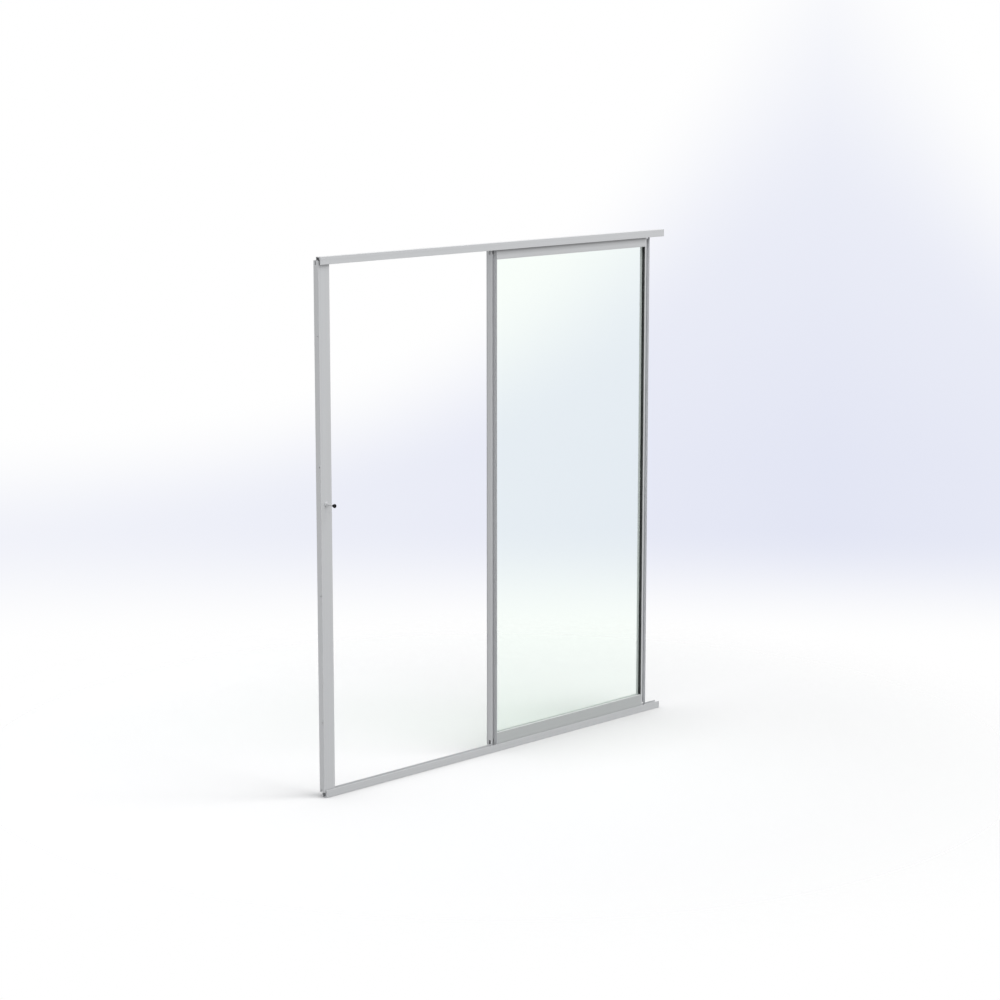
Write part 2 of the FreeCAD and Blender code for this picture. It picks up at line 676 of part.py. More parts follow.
def roller(end_name, middle):
    """One roller set with its middle at the given place along the panel."""
    housing = extrude_along_z(
        f"{end_name}_roller_housing",
        [
            rectangle(
                f"{middle} - sizes.housing_length / 2",
                f"{middle} + sizes.housing_length / 2",
                f"{RAIL_MIDDLE} - sizes.housing_width / 2",
                f"{RAIL_MIDDLE} + sizes.housing_width / 2",
            )
        ],
        HOUSING_LOW,
        f"{LOWER_WEB} - {HOUSING_LOW}",
    )
    room = "(sizes.wheel_flange_radius + sizes.wheel_side_play)"
    wheel_room = new_sketch(housing, "XY_Plane", "wheel_room", HOUSING_LOW)
    add_outline(
        wheel_room,
        rectangle(
            f"{middle} - {room}",
            f"{middle} + {room}",
            f"{RAIL_MIDDLE} - sizes.wheel_width / 2 - sizes.wheel_side_play",
            f"{RAIL_MIDDLE} + sizes.wheel_width / 2 + sizes.wheel_side_play",
        ),
    )
    cut_one_wall(housing, wheel_room, f"{AXLE_LEVEL} + {room} - {HOUSING_LOW}", True)
    axle_hole = new_sketch(housing, "XZ_Plane", "axle_hole")
    add_circle(axle_hole, middle, AXLE_LEVEL, "2 * (sizes.axle_radius + sizes.axle_fit)")
    add_cut(housing, axle_hole)

    bore = "sizes.axle_radius + sizes.wheel_bore_play"
    flare = f"({TREAD_HALF} + sizes.wheel_groove_flare)"
    wheel_corners = [
        (bore, "-sizes.wheel_width / 2"),
        ("sizes.wheel_flange_radius", "-sizes.wheel_width / 2"),
        ("sizes.wheel_flange_radius", f"-{flare}"),
        ("sizes.wheel_tread_radius", f"-{TREAD_HALF}"),
        ("sizes.wheel_tread_radius", TREAD_HALF),
        ("sizes.wheel_flange_radius", flare),
        ("sizes.wheel_flange_radius", "sizes.wheel_width / 2"),
        (bore, "sizes.wheel_width / 2"),
    ]
    place = (middle, RAIL_MIDDLE, AXLE_LEVEL)
    turn_about_y(f"{end_name}_roller_wheel", wheel_corners, place)
    half_axle = "sizes.housing_width / 2"
    turn_about_y(
        f"{end_name}_roller_axle",
        rectangle("0", "sizes.axle_radius", f"-{half_axle}", half_axle),
        place,
    )


LEADING_ROLLER = f"({RAILS_LEFT} + sizes.roller_setin)"
TRAILING_ROLLER = f"({PANEL_RIGHT} - sizes.stile_width - sizes.roller_setin)"
roller("leading", LEADING_ROLLER)
roller("trailing", TRAILING_ROLLER)

# Guides: blocks in the top rail's channel, slotted over the head track's fin
GUIDE_TOP = f"({PANEL_HIGH} - sizes.guide_top_setdown)"
GUIDE_SLOT_LOW = f"({FIN_LOW} - sizes.guide_depth_play)"
guide_corners = [
    (f"{PANEL_FRONT} + {WALL}", UPPER_WEB),
    (f"{PANEL_BACK} - {WALL}", UPPER_WEB),
    (f"{PANEL_BACK} - {WALL}", GUIDE_TOP),
    (f"{RAIL_BACK} + sizes.guide_play", GUIDE_TOP),
    (f"{RAIL_BACK} + sizes.guide_play", GUIDE_SLOT_LOW),
    (f"{RAIL_FRONT} - sizes.guide_play", GUIDE_SLOT_LOW),
    (f"{RAIL_FRONT} - sizes.guide_play", GUIDE_TOP),
    (f"{PANEL_FRONT} + {WALL}", GUIDE_TOP),
]
for end_name, middle in (("leading", LEADING_ROLLER), ("trailing", TRAILING_ROLLER)):
    extrude_along_x(
        f"{end_name}_top_guide",
        [guide_corners],
        f"{middle} - sizes.guide_length / 2",
        "sizes.guide_length",
    )

doc.recompute()

for item in doc.Objects:
    if "Invalid" in item.State or "Error" in item.State:
        raise RuntimeError(f"{item.Label} is {item.State}")

for body in sub_parts:
    if body.Shape.isNull() or not body.Shape.isValid():
        raise RuntimeError(f"{body.Label} has no valid shape")
    body.Shape.exportStep(f"parts/{body.Label}.step")
    box = body.Shape.BoundBox
    print(
        f"{body.Label}: {len(body.Shape.Solids)} solid, {body.Shape.Volume / 1000:.1f} cm3, "
        f"X {box.XMin:.1f} to {box.XMax:.1f}, Y {box.YMin:.1f} to {box.YMax:.1f}, "
        f"Z {box.ZMin:.1f} to {box.ZMax:.1f}"
    )
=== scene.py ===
import math

import bpy
from bpy.props import FloatProperty, FloatVectorProperty, IntProperty, PointerProperty
from mathutils import Matrix, Vector


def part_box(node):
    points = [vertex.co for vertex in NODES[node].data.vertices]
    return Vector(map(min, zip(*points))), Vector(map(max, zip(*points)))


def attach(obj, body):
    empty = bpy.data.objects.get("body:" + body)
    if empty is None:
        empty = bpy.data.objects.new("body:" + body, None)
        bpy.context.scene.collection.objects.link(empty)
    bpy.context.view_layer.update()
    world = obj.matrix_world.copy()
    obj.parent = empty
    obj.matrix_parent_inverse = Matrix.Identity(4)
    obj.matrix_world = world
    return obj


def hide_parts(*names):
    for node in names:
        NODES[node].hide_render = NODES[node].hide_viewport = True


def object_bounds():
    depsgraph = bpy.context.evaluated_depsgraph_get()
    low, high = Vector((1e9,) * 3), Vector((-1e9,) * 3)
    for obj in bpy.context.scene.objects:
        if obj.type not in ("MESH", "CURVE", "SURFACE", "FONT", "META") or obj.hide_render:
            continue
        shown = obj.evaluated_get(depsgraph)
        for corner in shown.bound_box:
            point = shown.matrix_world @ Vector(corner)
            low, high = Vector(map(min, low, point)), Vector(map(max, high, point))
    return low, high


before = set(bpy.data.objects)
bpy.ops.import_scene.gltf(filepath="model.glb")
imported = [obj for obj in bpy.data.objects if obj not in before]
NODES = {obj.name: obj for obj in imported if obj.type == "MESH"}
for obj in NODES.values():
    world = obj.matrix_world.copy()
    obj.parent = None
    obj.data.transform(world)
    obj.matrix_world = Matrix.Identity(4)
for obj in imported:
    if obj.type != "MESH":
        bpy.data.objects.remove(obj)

bl_info = {
    "name": "Sliding patio door looks",
    "version": (1, 0, 0),
    "blender": (4, 5, 0),
    "location": "3D View > Sidebar > Patio Door",
    "description": "Finishes, seal, screws and studio for a glazed sliding patio door",
    "category": "Object",
}

# Metres, +Z up. The tracks run along X and their front faces -Y.
MM = 0.001
CAD_LOW, CAD_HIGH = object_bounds()

ALONG_TRACK = "X"
UPRIGHT = "Z"
PATCH_FADE = 0.2 * MM


class PATIO_PG_finishes(bpy.types.PropertyGroup):
    """Colours and gloss of the door's materials."""

    aluminium: FloatVectorProperty(
        name="Aluminium",
        description="Colour of the satin anodised sections",
        subtype="COLOR",
        size=3,
        min=0,
        max=1,
        default=(0.555, 0.563, 0.572),
    )
    bottom_rail: FloatVectorProperty(
        name="Bottom rail",
        # Colour of the bottom rail, darker than the other sections as painted shade near the floor
        description="Colour of the bottom rail, a shade deeper than the other sections",
        subtype="COLOR",
        size=3,
        min=0,
        max=1,
        default=(0.472, 0.488, 0.486),
    )
    top_rail_shade_tone: FloatProperty(
        name="Top rail tone",
        # Brightness of the top rail beside the other sections, lowered as painted shade from the head track above
        description="Brightness of the top rail beside the other sections",
        subtype="FACTOR",
        min=0.5,
        max=1,
        default=0.955,
    )
    under_track_shade_tone: FloatProperty(
        name="Under-track tone",
        # Brightness of the painted shadow on the top rail where it comes out from under the head track
        description="Brightness of the top rail where it comes out from under the head track",
        subtype="FACTOR",
        min=0.3,
        max=1,
        default=0.7,
    )
    under_track_shade_fade: FloatProperty(
        name="Under-track fade",
        # Height over which the painted shadow on the top rail fades out below the head track
        description="Height over which the top rail brightens below the head track",
        subtype="DISTANCE",
        unit="LENGTH",
        min=1 * MM,
        default=24 * MM,
    )
    leading_painted_light: FloatVectorProperty(
        name="Leading tones",
        # Painted light and shade in the leading stile's channel: brightness of the channel, of its wall beside the
        # glass and of its lip
        description="Brightness of the leading stile's channel, of its wall beside the glass and of its lip",
        size=3,
        min=0,
        max=1.7,
        default=(1.12, 1.33, 0.76),
    )
    slot_shade_tone: FloatProperty(
        name="Slot tone",
        # Brightness of the painted shade on the leading stile's metal behind its lower slot
        description="Brightness of the leading stile's metal behind its lower slot, where grime gathers",
        subtype="FACTOR",
        min=0,
        max=1,
        default=0.22,
    )
    trailing_painted_light: FloatVectorProperty(
        name="Trailing tones",
        # Painted light and shade in the trailing stile's channel: brightness of the channel, of its outer wall and of
        # that wall's depth
        description="Brightness of the trailing stile's channel, of its outer wall and of that wall's depth",
        size=3,
        min=0,
        max=1.7,
        default=(1.55, 1.31, 0.78),
    )
    aluminium_metal: FloatProperty(
        name="Metal share",
        description="How metallic the anodised sections look",
        subtype="FACTOR",
        min=0,
        max=1,
        default=0.18,
    )
    aluminium_roughness: FloatProperty(
        name="Aluminium roughness",
        description="Gloss of the anodised sections",
        subtype="FACTOR",
        min=0,
        max=1,
        default=0.42,
    )
    glass: FloatVectorProperty(
        name="Glass",
        description="Tint that light takes as it enters or leaves the pane",
        subtype="COLOR",
        size=3,
        min=0,
        max=1,
        default=(0.945, 0.998, 0.957),
    )
    glass_shadow: FloatProperty(
        name="Glass shadow",
        description="Share of the lamps' light that passes through each face of the pane",
        subtype="FACTOR",
        min=0,
        max=1,
        default=0.84,
    )
    rubber: FloatVectorProperty(
        name="Rubber",
        description="Colour of the gaskets and the buffer",
        subtype="COLOR",
        size=3,
        min=0,
        max=1,
        default=(0.018, 0.02, 0.02),
    )
    buffer: FloatVectorProperty(
        name="Buffer",
        description="Colour of the stop pin's rubber buffer",
        subtype="COLOR",
        size=3,
        min=0,
        max=1,
        default=(0.007, 0.007, 0.008),
    )
    rod: FloatVectorProperty(
        name="Rod",
        description="Colour of the stop pin's turned rod",
        subtype="COLOR",
        size=3,
        min=0,
        max=1,
        default=(0.56, 0.565, 0.575),
    )
    pile: FloatVectorProperty(
        name="Pile",
        description="Colour of the brush seal",
        subtype="COLOR",
        size=3,
        min=0,
        max=1,
        default=(0.16, 0.16, 0.165),
    )
    nylon: FloatVectorProperty(
        name="Nylon",
        description="Colour of the rollers, guides and end stops",
        subtype="COLOR",
        size=3,
        min=0,
        max=1,
        default=(0.045, 0.046, 0.048),
    )
    zinc: FloatVectorProperty(
        name="Zinc",
        description="Colour of the plated brackets, axles and screws",
        subtype="COLOR",
        size=3,
        min=0,
        max=1,
        default=(0.62, 0.63, 0.65),
    )


class PATIO_PG_details(bpy.types.PropertyGroup):
    """Sizes of the small pieces that are modelled here."""

    pile_backing: FloatProperty(
        name="Pile backing",
        description="Thickness of the strip that carries the pile",
        subtype="DISTANCE",
        unit="LENGTH",
        default=1.0 * MM,
    )
    pile_width: FloatProperty(
        name="Pile width",
        description="Width of the pile across the jamb",
        subtype="DISTANCE",
        unit="LENGTH",
        default=5.0 * MM,
    )
    pile_fuzz: FloatProperty(
        name="Pile fuzz",
        description="How far the fibre tips stand above each other",
        subtype="DISTANCE",
        unit="LENGTH",
        default=1.1 * MM,
    )
    pile_rows: IntProperty(
        name="Pile rows",
        description="Rows of tufts along the seal",
        min=50,
        default=900,
    )
    screw_head_radius: FloatProperty(
        name="Screw head radius",
        description="Radius of a pan head",
        subtype="DISTANCE",
        unit="LENGTH",
        default=3.6 * MM,
    )
    screw_head_height: FloatProperty(
        name="Screw head height",
        description="Height of a pan head",
        subtype="DISTANCE",
        unit="LENGTH",
        default=2.2 * MM,
    )


class PATIO_PG_stage(bpy.types.PropertyGroup):
    """Camera, floor, backdrop and lamps."""

    camera_place: FloatVectorProperty(
        name="Camera place",
        description="Where the photograph was taken from",
        subtype="TRANSLATION",
        unit="LENGTH",
        size=3,
        default=(-7.5729, -7.4356, 2.9429),
    )
    camera_turn: FloatVectorProperty(
        name="Camera turn",
        description="Tilt, roll and heading of the camera",
        subtype="EULER",
        unit="ROTATION",
        size=3,
        default=(math.radians(79.888), 0.0, math.radians(-45.5)),
    )
    camera_lens: FloatProperty(
        name="Focal length",
        description="Focal length in millimetres on a 36 mm sensor",
        default=95.2,
    )
    floor_radius: FloatProperty(
        name="Floor radius",
        description="Radius of the pale floor, which fades out towards its rim",
        subtype="DISTANCE",
        unit="LENGTH",
        default=2.7,
    )
    sky_level: FloatProperty(
        name="Sky level",
        description="Soft light from overhead",
        min=0,
        default=1.4,
    )
    horizon_level: FloatProperty(
        name="Horizon level",
        description="Soft light from the sides",
        min=0,
        default=0.52,
    )
    ground_level: FloatProperty(
        name="Ground level",
        description="Soft light from below the horizon, as a share of the light at the horizon",
        subtype="FACTOR",
        min=0,
        max=1,
        default=0.4,
    )
    front_share: FloatProperty(
        name="Front share",
        description="How much brighter the soft light is at the front than on average",
        subtype="FACTOR",
        min=0,
        max=1,
        default=0.3,
    )
    left_share: FloatProperty(
        name="Left share",
        description="How much brighter the soft light is at the jamb's end than on average",
        subtype="FACTOR",
        min=0,
        max=1,
        default=0.4,
    )
    floor_tone: FloatProperty(
        name="Floor tone",
        description="Colour of the floor as it is seen, set so that open floor comes out just white",
        subtype="FACTOR",
        min=0,
        max=1,
        default=0.66,
    )
    floor_slope: FloatVectorProperty(
        name="Floor slope",
        description="How much the floor's tone changes for each metre along X and Y, to even out the lamps",
        size=2,
        default=(-0.03, 0.035),
    )
    floor_bounce: FloatProperty(
        name="Floor bounce",
        description="Share of the light that the floor throws back at the door",
        subtype="FACTOR",
        min=0,
        max=1,
        default=0.16,
    )
    contact_reach: FloatProperty(
        name="Contact reach",
        description="How far the soft shade at the door's foot spreads over the floor",
        subtype="DISTANCE",
        unit="LENGTH",
        default=0.6,
    )
    contact_depth: FloatProperty(
        name="Contact depth",
        description="How dark the soft shade at the door's foot is",
        subtype="FACTOR",
        min=0,
        max=1,
        default=0.32,
    )
    key_power: FloatProperty(
        name="Key power",
        description="Power of the large lamp high at the front",
        unit="POWER",
        min=0,
        default=722.0,
    )
    side_power: FloatProperty(
        name="Side power",
        description="Power of the smaller lamp at the front right, which draws the soft shadows",
        unit="POWER",
        min=0,
        default=120.0,
    )


# Small tools for node trees


def start_group(name, inputs, outputs):
    """Empty shader group with named sockets; each input is a name, type and default."""
    group = bpy.data.node_groups.new(name, "ShaderNodeTree")
    for socket_name, socket_type, default in inputs:
        socket = group.interface.new_socket(name=socket_name, in_out="INPUT", socket_type=socket_type)
        if default is not None:
            socket.default_value = default
    for socket_name, socket_type in outputs:
        group.interface.new_socket(name=socket_name, in_out="OUTPUT", socket_type=socket_type)
    return group, group.nodes.new("NodeGroupInput"), group.nodes.new("NodeGroupOutput")


def add_node(tree, kind, links=(), **values):
    """New node; links pairs an input name with a source socket, values sets inputs by name."""
    node = tree.nodes.new(kind)
    for socket_name, source in links:
        tree.links.new(source, node.inputs[socket_name])
    for socket_name, value in values.items():
        node.inputs[socket_name.replace("_", " ")].default_value = value
    return node


def add_math(tree, operation, first, second, clamp=False):
    """Math node on two sockets or numbers; returns its output socket."""
    node = tree.nodes.new("ShaderNodeMath")
    node.operation = operation
    node.use_clamp = clamp
    for index, value in enumerate((first, second)):
        if isinstance(value, (int, float)):
            node.inputs[index].default_value = value
        else:
            tree.links.new(value, node.inputs[index])
    return node.outputs["Value"]


def add_range(tree, value, low, high, out_low=0.0, out_high=1.0, smooth=False):
    """Map Range node from low..high to out_low..out_high; returns its output socket."""
    node = tree.nodes.new("ShaderNodeMapRange")
    node.interpolation_type = "SMOOTHSTEP" if smooth else "LINEAR"
    tree.links.new(value, node.inputs["Value"])
    node.inputs["From Min"].default_value = low
    node.inputs["From Max"].default_value = high
    node.inputs["To Min"].default_value = out_low
    node.inputs["To Max"].default_value = out_high
    return node.outputs["Result"]


def mix_colour(tree, share, first, second):
    """Colour between two colours or sockets, by a share socket or number."""
    node = tree.nodes.new("ShaderNodeMix")
    node.data_type = "RGBA"
    node.clamp_factor = False
    for socket, value in ((node.inputs[0], share), (node.inputs[6], first), (node.inputs[7], second)):
        if isinstance(value, bpy.types.NodeSocket):
            tree.links.new(value, socket)
        elif isinstance(value, (int, float)):
            socket.default_value = value
        else:
            socket.default_value = (*value, 1.0)
    return node.outputs[2]


def shade(colour, factor):
    """The colour made lighter or darker, kept under white."""
    return tuple(min(1.0, part * factor) for part in colour)


def start_material(name):
    """Material with a Principled shader wired to its output, and its tree and shader."""
    material = bpy.data.materials.new(name)
    material.use_nodes = True
    tree = material.node_tree
    tree.nodes.clear()
    output = tree.nodes.new("ShaderNodeOutputMaterial")
    shader = tree.nodes.new("ShaderNodeBsdfPrincipled")
    tree.links.new(shader.outputs["BSDF"], output.inputs["Surface"])
    return material, tree, shader


def place_group(tree, group, links=(), **values):
    """Group node in a tree, with its inputs linked or set."""
    node = add_node(tree, "ShaderNodeGroup")
    node.node_tree = group
    for socket_name, source in links:
        tree.links.new(source, node.inputs[socket_name])
    for socket_name, value in values.items():
        node.inputs[socket_name.replace("_", " ")].default_value = value
    return node


def object_place(tree, scale=(1.0, 1.0, 1.0)):
    """Object coordinates stretched by scale."""
    coordinates = tree.nodes.new("ShaderNodeTexCoord")
    mapping = add_node(tree, "ShaderNodeMapping", [("Vector", coordinates.outputs["Object"])])
    mapping.inputs["Scale"].default_value = scale
    return mapping.outputs["Vector"]


# Effects that several finishes share


def build_extrusion_lines():
    """Fine die lines that run along a section, and slow changes of tone."""
    group, entry, result = start_group(
        "extrusion_lines",
        [("Vector", "NodeSocketVector", None), ("Waviness", "NodeSocketFloat", 0.4)],
        [("Lines", "NodeSocketFloat"), ("Tone", "NodeSocketFloat")],
    )
    fine = add_node(group, "ShaderNodeTexNoise", [("Vector", entry.outputs["Vector"])], Scale=1.0, Detail=3.0)
    broad = add_node(group, "ShaderNodeTexNoise", [("Vector", entry.outputs["Vector"])], Scale=0.23, Detail=1.0)
    group.links.new(entry.outputs["Waviness"], broad.inputs["Distortion"])
    lines = add_range(group, fine.outputs["Fac"], 0.3, 0.7)
    tone = add_range(group, broad.outputs["Fac"], 0.32, 0.68, smooth=True)
    group.links.new(lines, result.inputs["Lines"])
    group.links.new(tone, result.inputs["Tone"])
    return group


def build_soft_edges():
    """Rounded normal at sharp edges, and a mask of where those edges are."""
    group, entry, result = start_group(
        "soft_edges",
        [("Radius", "NodeSocketFloat", 0.5 * MM)],
        [("Normal", "NodeSocketVector"), ("Edge", "NodeSocketFloat")],
    )
    bevel = add_node(group, "ShaderNodeBevel", [("Radius", entry.outputs["Radius"])])
    geometry = group.nodes.new("ShaderNodeNewGeometry")
    compare = group.nodes.new("ShaderNodeVectorMath")
    compare.operation = "DOT_PRODUCT"
    group.links.new(bevel.outputs["Normal"], compare.inputs[0])
    group.links.new(geometry.outputs["Normal"], compare.inputs[1])
    edge = add_range(group, compare.outputs["Value"], 0.98, 0.8)
    group.links.new(bevel.outputs["Normal"], result.inputs["Normal"])
    group.links.new(edge, result.inputs["Edge"])
    return group


def build_settled_dust():
    """Thin dust on faces that look up, broken into soft patches."""
    group, entry, result = start_group(
        "settled_dust",
        [("Amount", "NodeSocketFloat", 0.5)],
        [("Dust", "NodeSocketFloat")],
    )
    geometry = group.nodes.new("ShaderNodeNewGeometry")
    split = add_node(group, "ShaderNodeSeparateXYZ", [("Vector", geometry.outputs["Normal"])])
    upward = add_range(group, split.outputs["Z"], 0.5, 1.0, smooth=True)
    patches = add_node(group, "ShaderNodeTexNoise", [("Vector", object_place(group))], Scale=38.0, Detail=5.0)
    spread = add_range(group, patches.outputs["Fac"], 0.35, 0.75, 0.3, 1.0)
    dust = add_math(group, "MULTIPLY", upward, spread)
    amount = add_math(group, "MULTIPLY", dust, entry.outputs["Amount"])
    group.links.new(amount, result.inputs["Dust"])
    return group


def build_inside_box():
    """One inside the box from Low to High, zero outside it, and between them over Fade."""
    group, entry, result = start_group(
        "inside_box",
        [
            ("Vector", "NodeSocketVector", None),
            ("Low", "NodeSocketVector", None),
            ("High", "NodeSocketVector", None),
            ("Fade", "NodeSocketFloat", PATCH_FADE),
        ],
        [("Inside", "NodeSocketFloat")],
    )
    margins = []
    for upper, lower in (("Vector", "Low"), ("High", "Vector")):
        margin = group.nodes.new("ShaderNodeVectorMath")
        margin.operation = "SUBTRACT"
        group.links.new(entry.outputs[upper], margin.inputs[0])
        group.links.new(entry.outputs[lower], margin.inputs[1])
        margins.append(margin.outputs["Vector"])
    least = group.nodes.new("ShaderNodeVectorMath")
    least.operation = "MINIMUM"
    group.links.new(margins[0], least.inputs[0])
    group.links.new(margins[1], least.inputs[1])
    split = add_node(group, "ShaderNodeSeparateXYZ", [("Vector", least.outputs["Vector"])])
    nearest = add_math(group, "MINIMUM", split.outputs["Y"], split.outputs["Z"])
    nearest = add_math(group, "MINIMUM", split.outputs["X"], nearest)
    ramp = add_range(group, nearest, 0.0, PATCH_FADE)
    group.links.new(entry.outputs["Fade"], ramp.node.inputs["From Max"])
    group.links.new(ramp, result.inputs["Inside"])
    return group


EFFECTS = {}


def build_effects():
    """Every shared effect, built once."""
    EFFECTS["lines"] = build_extrusion_lines()
    EFFECTS["edges"] = build_soft_edges()
    EFFECTS["dust"] = build_settled_dust()
    EFFECTS["inside"] = build_inside_box()


# Finishes


def satin_aluminium(name, finishes, run, colour, patches=()):
    """Anodised section with die lines along its run, brighter edges, and boxes of painted light and shade.

    Each patch is the low and high corner of a box, the factor on the colour inside it (above one for painted light,
    below one for painted shade), and its fade.
    """
    material, tree, shader = start_material(name)
    across, along = 700.0, 1.3
    scale = (along, across, across) if run == ALONG_TRACK else (across, across, along)
    lines = place_group(tree, EFFECTS["lines"], [("Vector", object_place(tree, scale))])
    edges = place_group(tree, EFFECTS["edges"], Radius=0.5 * MM)
    dust = place_group(tree, EFFECTS["dust"], Amount=0.35)
    base = mix_colour(tree, lines.outputs["Tone"], shade(colour, 0.975), shade(colour, 1.02))
    bright = mix_colour(tree, edges.outputs["Edge"], base, shade(colour, 1.12))
    dust_and_painted_light = mix_colour(tree, dust.outputs["Dust"], bright, (0.62, 0.62, 0.61))
    # Painted light and shade: each box lightens or darkens the metal's colour by its factor.
    for low, high, factor, fade in patches:
        inside = place_group(tree, EFFECTS["inside"], [("Vector", object_place(tree))], Low=low, High=high, Fade=fade)
        dust_and_painted_light = mix_colour(tree, inside.outputs["Inside"], dust_and_painted_light, shade(colour, factor))
    tree.links.new(dust_and_painted_light, shader.inputs["Base Color"])
    gloss = finishes.aluminium_roughness
    streaks = add_range(tree, lines.outputs["Lines"], 0.0, 1.0, gloss - 0.05, gloss + 0.06)
    rough = add_math(tree, "ADD", streaks, add_math(tree, "MULTIPLY", dust.outputs["Dust"], 0.3), clamp=True)
    tree.links.new(rough, shader.inputs["Roughness"])
    shader.inputs["Metallic"].default_value = finishes.aluminium_metal
    bump = add_node(
        tree,
        "ShaderNodeBump",
        [("Height", lines.outputs["Lines"]), ("Normal", edges.outputs["Normal"])],
        Strength=0.12,
        Distance=0.02 * MM,
    )
    tree.links.new(bump.outputs["Normal"], shader.inputs["Normal"])
    return material


def turned_metal(name, colour, metal):
    """Lathe-turned metal with fine rings around the Y axis."""
    material, tree, shader = start_material(name)
    rings = tree.nodes.new("ShaderNodeTexWave")
    rings.bands_direction = "Y"
    rings.wave_profile = "TRI"
    rings.inputs["Scale"].default_value = 520.0
    rings.inputs["Distortion"].default_value = 1.5
    tree.links.new(object_place(tree), rings.inputs["Vector"])
    edges = place_group(tree, EFFECTS["edges"], Radius=0.4 * MM)
    base = mix_colour(tree, rings.outputs["Fac"], shade(colour, 0.95), shade(colour, 1.05))
    tree.links.new(mix_colour(tree, edges.outputs["Edge"], base, shade(colour, 1.15)), shader.inputs["Base Color"])
    tree.links.new(add_range(tree, rings.outputs["Fac"], 0.0, 1.0, 0.3, 0.4), shader.inputs["Roughness"])
    shader.inputs["Metallic"].default_value = metal
    bump = add_node(
        tree,
        "ShaderNodeBump",
        [("Height", rings.outputs["Fac"]), ("Normal", edges.outputs["Normal"])],
        Strength=0.2,
        Distance=0.03 * MM,
    )
    tree.links.new(bump.outputs["Normal"], shader.inputs["Normal"])
    return material


def float_glass(name, finishes):
    """Clear float glass with a pale green cast, which lets lamps through."""
    material, tree, shader = start_material(name)
    smears = add_node(tree, "ShaderNodeTexNoise", [("Vector", object_place(tree))], Scale=5.0, Detail=4.0)
    rough = add_range(tree, smears.outputs["Fac"], 0.55, 0.8, 0.0, 0.025)
    tree.links.new(rough, shader.inputs["Roughness"])
    shader.inputs["Base Color"].default_value = (*finishes.glass, 1.0)
    shader.inputs["IOR"].default_value = 1.58
    shader.inputs["Transmission Weight"].default_value = 1.0
    clear = tree.nodes.new("ShaderNodeBsdfTransparent")
    clear.inputs["Color"].default_value = (*shade(finishes.glass, finishes.glass_shadow), 1.0)
    path = tree.nodes.new("ShaderNodeLightPath")
    choose = tree.nodes.new("ShaderNodeMixShader")
    tree.links.new(path.outputs["Is Shadow Ray"], choose.inputs["Fac"])
    tree.links.new(shader.outputs["BSDF"], choose.inputs[1])
    tree.links.new(clear.outputs["BSDF"], choose.inputs[2])
    output = next(node for node in tree.nodes if node.type == "OUTPUT_MATERIAL")
    tree.links.new(choose.outputs["Shader"], output.inputs["Surface"])
    return material


def matt_moulding(name, colour, roughness, grain, depth):
    """Moulded rubber or nylon with a fine mould grain and slightly lighter edges."""
    material, tree, shader = start_material(name)
    place = object_place(tree)
    pores = add_node(tree, "ShaderNodeTexNoise", [("Vector", place)], Scale=grain, Detail=4.0)
    clouds = add_node(tree, "ShaderNodeTexNoise", [("Vector", place)], Scale=grain / 30, Detail=2.0)
    edges = place_group(tree, EFFECTS["edges"], Radius=0.4 * MM)
    base = mix_colour(tree, clouds.outputs["Fac"], shade(colour, 0.85), shade(colour, 1.2))
    tree.links.new(mix_colour(tree, edges.outputs["Edge"], base, shade(colour, 1.6)), shader.inputs["Base Color"])
    rough = add_range(tree, pores.outputs["Fac"], 0.3, 0.7, roughness - 0.06, roughness + 0.08)
    tree.links.new(rough, shader.inputs["Roughness"])
    bump = add_node(
        tree,
        "ShaderNodeBump",
        [("Height", pores.outputs["Fac"]), ("Normal", edges.outputs["Normal"])],
        Strength=0.35,
        Distance=depth,
    )
    tree.links.new(bump.outputs["Normal"], shader.inputs["Normal"])
    return material


def zinc_plate(name, finishes):
    """Bright zinc plate with faint crystal patches."""
    material, tree, shader = start_material(name)
    place = object_place(tree)
    crystals = add_node(tree, "ShaderNodeTexVoronoi", [("Vector", place)], Scale=420.0)
    grain = add_node(tree, "ShaderNodeTexNoise", [("Vector", place)], Scale=1600.0, Detail=3.0)
    edges = place_group(tree, EFFECTS["edges"], Radius=0.3 * MM)
    split = add_node(tree, "ShaderNodeSeparateColor", [("Color", crystals.outputs["Color"])])
    colour = finishes.zinc
    base = mix_colour(tree, split.outputs["Red"], shade(colour, 0.86), shade(colour, 1.08))
    tree.links.new(mix_colour(tree, edges.outputs["Edge"], base, shade(colour, 1.25)), shader.inputs["Base Color"])
    tree.links.new(add_range(tree, split.outputs["Green"], 0.0, 1.0, 0.24, 0.4), shader.inputs["Roughness"])
    shader.inputs["Metallic"].default_value = 0.9
    bump = add_node(
        tree,
        "ShaderNodeBump",
        [("Height", grain.outputs["Fac"]), ("Normal", edges.outputs["Normal"])],
        Strength=0.15,
        Distance=0.02 * MM,
    )
    tree.links.new(bump.outputs["Normal"], shader.inputs["Normal"])
    return material


def brush_pile(name, finishes):
    """Dense polypropylene pile, seen as fine fibres that stand out of the backing."""
    material, tree, shader = start_material(name)
    fibres = add_node(
        tree, "ShaderNodeTexNoise", [("Vector", object_place(tree, (350.0, 4200.0, 4200.0)))], Scale=1.0, Detail=3.0
    )
    colour = finishes.pile
    base = mix_colour(tree, add_range(tree, fibres.outputs["Fac"], 0.3, 0.7), shade(colour, 0.55), shade(colour, 1.6))
    tree.links.new(base, shader.inputs["Base Color"])
    tree.links.new(add_range(tree, fibres.outputs["Fac"], 0.3, 0.7, 0.75, 0.95), shader.inputs["Roughness"])
    shader.inputs["Sheen Weight"].default_value = 0.4
    bump = add_node(
        tree, "ShaderNodeBump", [("Height", fibres.outputs["Fac"])], Strength=0.6, Distance=0.25 * MM
    )
    tree.links.new(bump.outputs["Normal"], shader.inputs["Normal"])
    return material


FINISHES = {}

